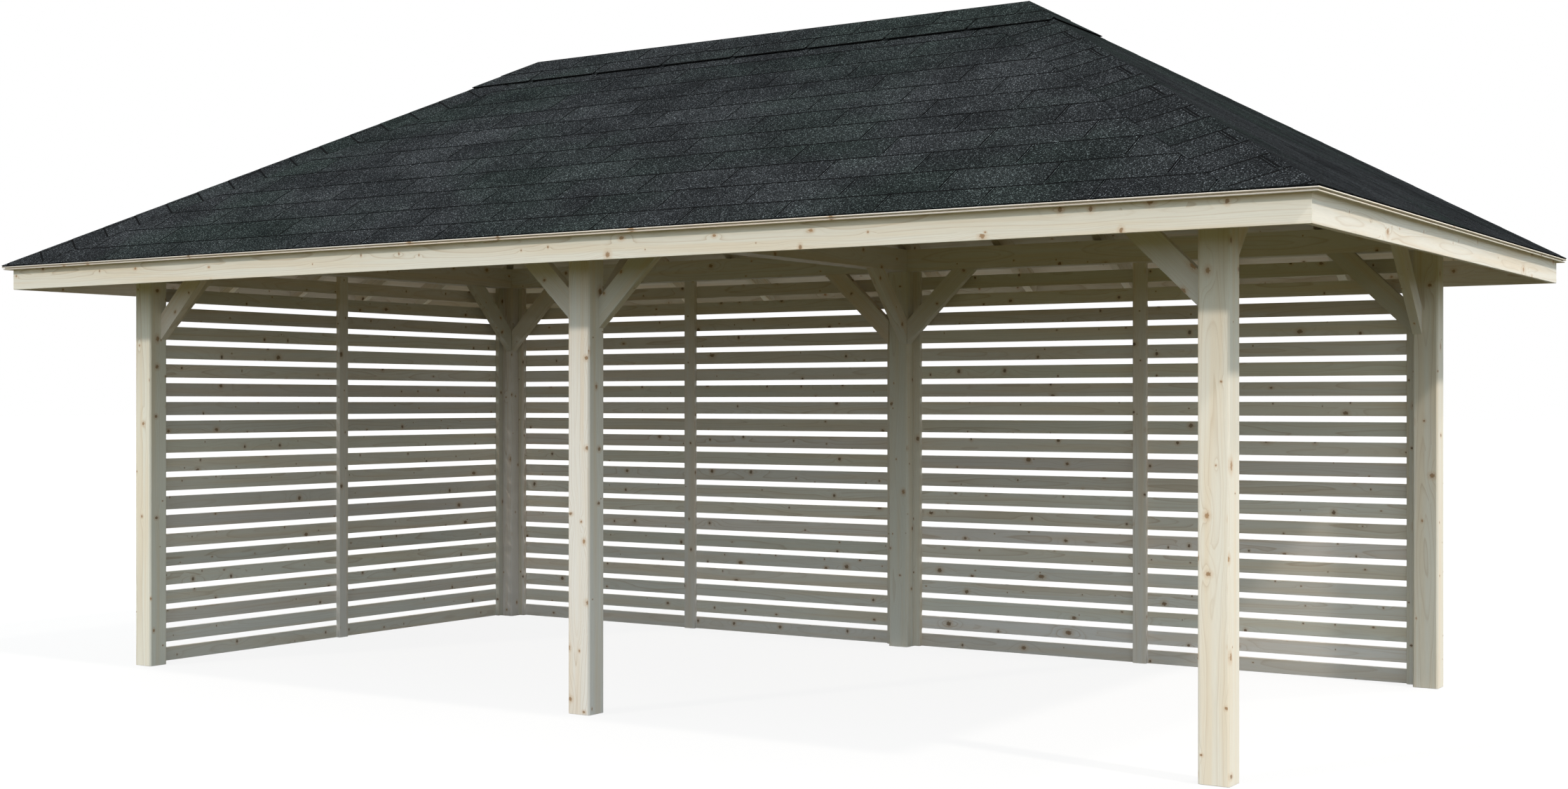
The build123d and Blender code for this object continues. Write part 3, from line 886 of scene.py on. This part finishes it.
class GAZEBO_OT_braces(bpy.types.Operator):
    """Dress the braces, with the grain along each brace"""

    bl_idname = "gazebo.braces"
    bl_label = "Braces"

    def execute(self, context):
        timber = context.scene.gazebo_timber
        for name in ("front_braces", "back_braces", "left_braces", "right_braces", "tie_braces"):
            in_row = name in ("front_braces", "back_braces")
            centre = box_middle(name)

            def coordinates(sheet, position, normal):
                x, y, z = sheet.parts(position)
                # A brace leans towards the middle of its beam; the sign tells which way
                if in_row:
                    reach, depth, middle, face = x, y, centre.y, (0, 1, 0)
                    half = sheet.math("FLOOR", sheet.times(x, 2 / BAY))
                    lean = sheet.math("SIGN", sheet.add(sheet.math("WRAP", x, 0.0, BAY), -BAY / 2))
                else:
                    reach, depth, middle, face = y, x, centre.x, (1, 0, 0)
                    half = sheet.math("FLOOR", y)
                    lean = sheet.math("SIGN", y)
                slant = 2 ** -0.5
                tilted = sheet.times(reach, lean)
                facing = sheet.math("ABSOLUTE", sheet.dot(normal, face))
                return {
                    "Along": sheet.times(sheet.add(z, sheet.times(tilted, -1.0)), slant),
                    "Across": sheet.times(sheet.add(z, tilted), slant),
                    "Through": sheet.add(depth, -middle),
                    "Board": sheet.add(half, 51.0 + len(name)),
                    "Side": sheet.math("LESS_THAN", facing, 0.5),
                    "End": 0.0,
                }

            dress(name, timber, coordinates)
        return {"FINISHED"}


class GAZEBO_OT_walls(bpy.types.Operator):
    """Dress the slatted walls: slats with level grain on upright battens"""

    bl_idname = "gazebo.walls"
    bl_label = "Slatted walls"

    def execute(self, context):
        timber = context.scene.gazebo_timber
        for number, name in enumerate(("back_left_wall", "back_right_wall", "left_wall")):
            low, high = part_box(name)
            at_left = name == "left_wall"
            in_wall, out_of_wall = Vector((1, 0, 0)), Vector((0, 1, 0))
            if at_left:
                in_wall, out_of_wall = out_of_wall, in_wall
            first_slat, first_batten = 100.0 + 40 * number, 300.0 + 40 * number

            def coordinates(sheet, position, normal):
                x, y, z = sheet.parts(position)
                if at_left:
                    along, depth = y, sheet.add(x, -low.x)
                else:
                    along, depth = x, sheet.add(sheet.times(y, -1.0), high.y)
                batten = sheet.math("GREATER_THAN", depth, SLAT_BACK)
                turn = sheet.times(sheet.add(z, SLAT_GAP_HALF - low.z), 1 / SLAT_PITCH)
                slat = sheet.math("FLOOR", turn)
                middle = sheet.times(sheet.add(sheet.math("FRACT", turn), -0.5), SLAT_PITCH)
                upright = sheet.math("FLOOR", sheet.times(along, 1 / BATTEN_REACH))
                facing = sheet.math("ABSOLUTE", sheet.dot(normal, out_of_wall))
                return {
                    "Along": sheet.mix(batten, along, z),
                    "Across": sheet.mix(batten, middle, along),
                    "Through": sheet.mix(batten, sheet.add(depth, -0.01), sheet.add(depth, -0.034)),
                    "Board": sheet.mix(
                        batten, sheet.add(slat, first_slat), sheet.add(upright, first_batten)),
                    "Side": sheet.math("LESS_THAN", facing, 0.5),
                    "End": sheet.mix(batten, sheet.faces(normal, in_wall), 0.0),
                }

            dress(name, timber, coordinates)
        return {"FINISHED"}


class GAZEBO_OT_rafters(bpy.types.Operator):
    """Dress the ridge board, the hip rafters and the rafters"""

    bl_idname = "gazebo.rafters"
    bl_label = "Rafters"

    def execute(self, context):
        timber, shingles = context.scene.gazebo_timber, context.scene.gazebo_shingles
        dress_straight("ridge_board", timber, (1, 0, 0), (0, 0, 1), 61.0)
        number = 62.0
        for row, end in (("front", -1), ("back", 1)):
            for place, side in (("left", -1), ("right", 1)):
                corner = RoofSlope(shingles, row)
                ridge_half, foot_half = corner.head_half, corner.foot_half
                along = (side * (ridge_half - foot_half), -end * corner.run, shingles.roof_rise)
                up = Vector(along).cross(Vector((0, 0, 1))).cross(Vector(along))
                dress_straight(f"{row}_{place}_hip_rafter", timber, along, up, number)
                number += 1
        for name in SIDES:
            slope = RoofSlope(shingles, name)

            def coordinates(sheet, position, normal):
                turn = sheet.times(sheet.dot(position, slope.right), 1 / RAFTER_PITCH)
                nearest = sheet.math("ROUND", turn)
                axes = board_axes(
                    sheet, position, normal, slope.up, slope.normal, slope.point(0, 0, -0.08),
                    sheet.add(nearest, 80.0 + 20 * SIDES.index(name)))
                axes["Through"] = sheet.times(sheet.math("SUBTRACT", turn, nearest), RAFTER_PITCH)
                return axes

            dress(f"{name}_rafters", timber, coordinates)
        return {"FINISHED"}


class GAZEBO_OT_roof_boards(bpy.types.Operator):
    """Dress the roof boards, board by board"""

    bl_idname = "gazebo.roof_boards"
    bl_label = "Roof boards"

    def execute(self, context):
        timber, shingles = context.scene.gazebo_timber, context.scene.gazebo_shingles
        for name in SIDES:
            slope = RoofSlope(shingles, name)

            def coordinates(sheet, position, normal):
                turn = sheet.add(sheet.dot(position, slope.up), -slope.eave.dot(slope.up))
                turn = sheet.times(turn, 1 / ROOF_BOARD)
                board = sheet.math("FLOOR", turn)
                axes = board_axes(
                    sheet, position, normal, slope.right, slope.up, slope.point(0, 0, -0.0155),
                    sheet.add(board, 400.0 + 40 * SIDES.index(name)))
                middle = sheet.add(sheet.math("FRACT", turn), -0.5)
                axes["Across"] = sheet.times(middle, ROOF_BOARD)
                return axes

            dress(f"{name}_roof_boards", timber, coordinates)
        eave_bead("eave_upper_bead", shingles, timber, 0.0094, 0.0033)
        eave_bead("eave_lower_bead", shingles, timber, 0.0217, 0.0032)
        return {"FINISHED"}


class GAZEBO_OT_fascias(bpy.types.Operator):
    """Dress the fascias"""

    bl_idname = "gazebo.fascias"
    bl_label = "Fascias"

    def execute(self, context):
        timber = context.scene.gazebo_timber
        for number, name in enumerate(SIDES):
            along = (1, 0, 0) if name in ("front", "back") else (0, 1, 0)
            dress_straight(f"{name}_fascia", timber, along, (0, 0, 1), 71.0 + number)
        return {"FINISHED"}


class GAZEBO_OT_shingles(bpy.types.Operator):
    """Lay the courses of shingles on the four slopes"""

    bl_idname = "gazebo.shingles"
    bl_label = "Shingle courses"

    def execute(self, context):
        shingles = context.scene.gazebo_shingles
        for number, name in enumerate(SIDES):
            lay_slope(shingles, RoofSlope(shingles, name), random.Random(11 + number))
        return {"FINISHED"}


class GAZEBO_OT_hip_strips(bpy.types.Operator):
    """Lay the shingles over the four hips"""

    bl_idname = "gazebo.hip_strips"
    bl_label = "Hip shingles"

    def execute(self, context):
        shingles = context.scene.gazebo_shingles
        slopes = {name: RoofSlope(shingles, name) for name in SIDES}
        for number, ((right_of, left_of), node) in enumerate(zip(CORNERS, STRIP_NODES)):
            lay_hip(
                shingles, slopes[right_of], slopes[left_of], node, random.Random(31 + number))
        return {"FINISHED"}


class GAZEBO_OT_ridge_hood(bpy.types.Operator):
    """Lay the raised hood over the ridge"""

    bl_idname = "gazebo.ridge_hood"
    bl_label = "Ridge hood"

    def execute(self, context):
        shingles = context.scene.gazebo_shingles
        slopes = {name: RoofSlope(shingles, name) for name in SIDES}
        lay_hood(shingles, slopes, random.Random(51))
        return {"FINISHED"}


def seen_rays(sheet):
    """1 for rays that show the surroundings, 0 for those that light the gazebo."""
    paths = sheet.node("ShaderNodeLightPath").outputs
    seen = sheet.math("MAXIMUM", paths["Is Camera Ray"], paths["Is Transmission Ray"])
    return sheet.math("MAXIMUM", seen, paths["Is Glossy Ray"])


class GAZEBO_OT_stage(bpy.types.Operator):
    """Set up the floor, the sky, three soft lamps and the camera"""

    bl_idname = "gazebo.stage"
    bl_label = "Floor, lamps and camera"

    def execute(self, context):
        scene, stage = context.scene, context.scene.gazebo_stage
        half, height = 160, -0.001
        data = bpy.data.meshes.new("floor")
        corners = [(x * half, y * half, height) for x, y in ((-1, -1), (1, -1), (1, 1), (-1, 1))]
        data.from_pydata(corners, [], [(0, 1, 2, 3)])
        add_piece("floor", data)
        paint, sheet, shader = new_surface("pale_floor")
        seen = seen_rays(sheet)
        colour = sheet.tint(seen, stage.floor, (0.10, 0.10, 0.10))
        sheet.feed(shader.inputs["Base Color"], colour)
        shader.inputs["Emission Color"].default_value = (1, 1, 1, 1)
        sheet.feed(shader.inputs["Emission Strength"], sheet.times(seen, 0.88))
        data.materials.append(paint)

        world = bpy.data.worlds.new("soft_sky")
        scene.world = world
        world.use_nodes = True
        sheet = NodeSheet(world.node_tree)
        background = world.node_tree.nodes["Background"]
        upward = sheet.parts(sheet.node("ShaderNodeTexCoord").outputs["Generated"])[2]
        light = sheet.tint(sheet.map(upward, 0.0, 0.75), stage.horizon, stage.sky)
        colour = sheet.tint(seen_rays(sheet), light, (1.0, 1.0, 1.0))
        sheet.feed(background.inputs["Color"], colour)
        background.inputs["Strength"].default_value = 1.0

        lamps = {
            "front_lamp": ((-1.0, -2.44, 1.40), stage.key, (1.0, 0.90, 0.78)),
            "side_lamp": ((0.859, -0.20, 1.0), stage.side, (1.0, 0.92, 0.82)),
            "rear_lamp": ((1.0, 1.43, 1.88), stage.rear, (1.0, 0.88, 0.76)),
        }
        for name, (towards, strength, colour) in lamps.items():
            light = bpy.data.lights.new(name, "SUN")
            light.energy = strength
            light.color = colour
            light.angle = stage.softness
            lamp = add_piece(name, light)
            lamp.rotation_euler = Vector(towards).to_track_quat("Z", "Y").to_euler()
            lamp.location = Vector(towards) * 5

        lens = bpy.data.cameras.new("camera")
        lens.lens = 46.346
        lens.sensor_width = 36
        lens.shift_x = 0.13677
        lens.shift_y = 0.00529
        lens.clip_end = 500
        camera = add_piece("camera", lens)
        camera.location = (5.3614, -9.0529, 1.4130)
        camera.rotation_euler = (math.pi / 2, 0, 0.6305)
        scene.camera = camera
        scene.view_settings.view_transform = "Standard"
        return {"FINISHED"}


OPERATORS = (
    GAZEBO_OT_stage, GAZEBO_OT_posts, GAZEBO_OT_beams, GAZEBO_OT_braces, GAZEBO_OT_walls,
    GAZEBO_OT_rafters, GAZEBO_OT_roof_boards, GAZEBO_OT_fascias, GAZEBO_OT_shingles,
    GAZEBO_OT_hip_strips, GAZEBO_OT_ridge_hood,
)


class GAZEBO_PT_panel(bpy.types.Panel):
    """Sizes, colours and pieces of the gazebo"""

    bl_idname = "GAZEBO_PT_panel"
    bl_label = "Gazebo"
    bl_space_type = "VIEW_3D"
    bl_region_type = "UI"
    bl_category = "Gazebo"

    def draw(self, context):
        scene = context.scene
        for settings in (scene.gazebo_timber, scene.gazebo_shingles, scene.gazebo_stage):
            box = self.layout.box()
            for name in settings.__annotations__:
                box.prop(settings, name)
        for operator in OPERATORS:
            self.layout.operator(operator.bl_idname)


CLASSES = (GazeboTimber, GazeboShingles, GazeboStage, *OPERATORS, GAZEBO_PT_panel)


def register():
    for kind in CLASSES:
        bpy.utils.register_class(kind)
    bpy.types.Scene.gazebo_timber = bpy.props.PointerProperty(type=GazeboTimber)
    bpy.types.Scene.gazebo_shingles = bpy.props.PointerProperty(type=GazeboShingles)
    bpy.types.Scene.gazebo_stage = bpy.props.PointerProperty(type=GazeboStage)


def unregister():
    del bpy.types.Scene.gazebo_stage
    del bpy.types.Scene.gazebo_shingles
    del bpy.types.Scene.gazebo_timber
    for kind in reversed(CLASSES):
        bpy.utils.unregister_class(kind)


def main():
    register()
    bpy.ops.gazebo.stage()
    bpy.ops.gazebo.posts()
    bpy.ops.gazebo.beams()
    bpy.ops.gazebo.braces()
    bpy.ops.gazebo.walls()
    bpy.ops.gazebo.rafters()
    bpy.ops.gazebo.roof_boards()
    bpy.ops.gazebo.fascias()
    bpy.ops.gazebo.shingles()
    bpy.ops.gazebo.hip_strips()
    bpy.ops.gazebo.ridge_hood()


if __name__ == "__main__":
    main()
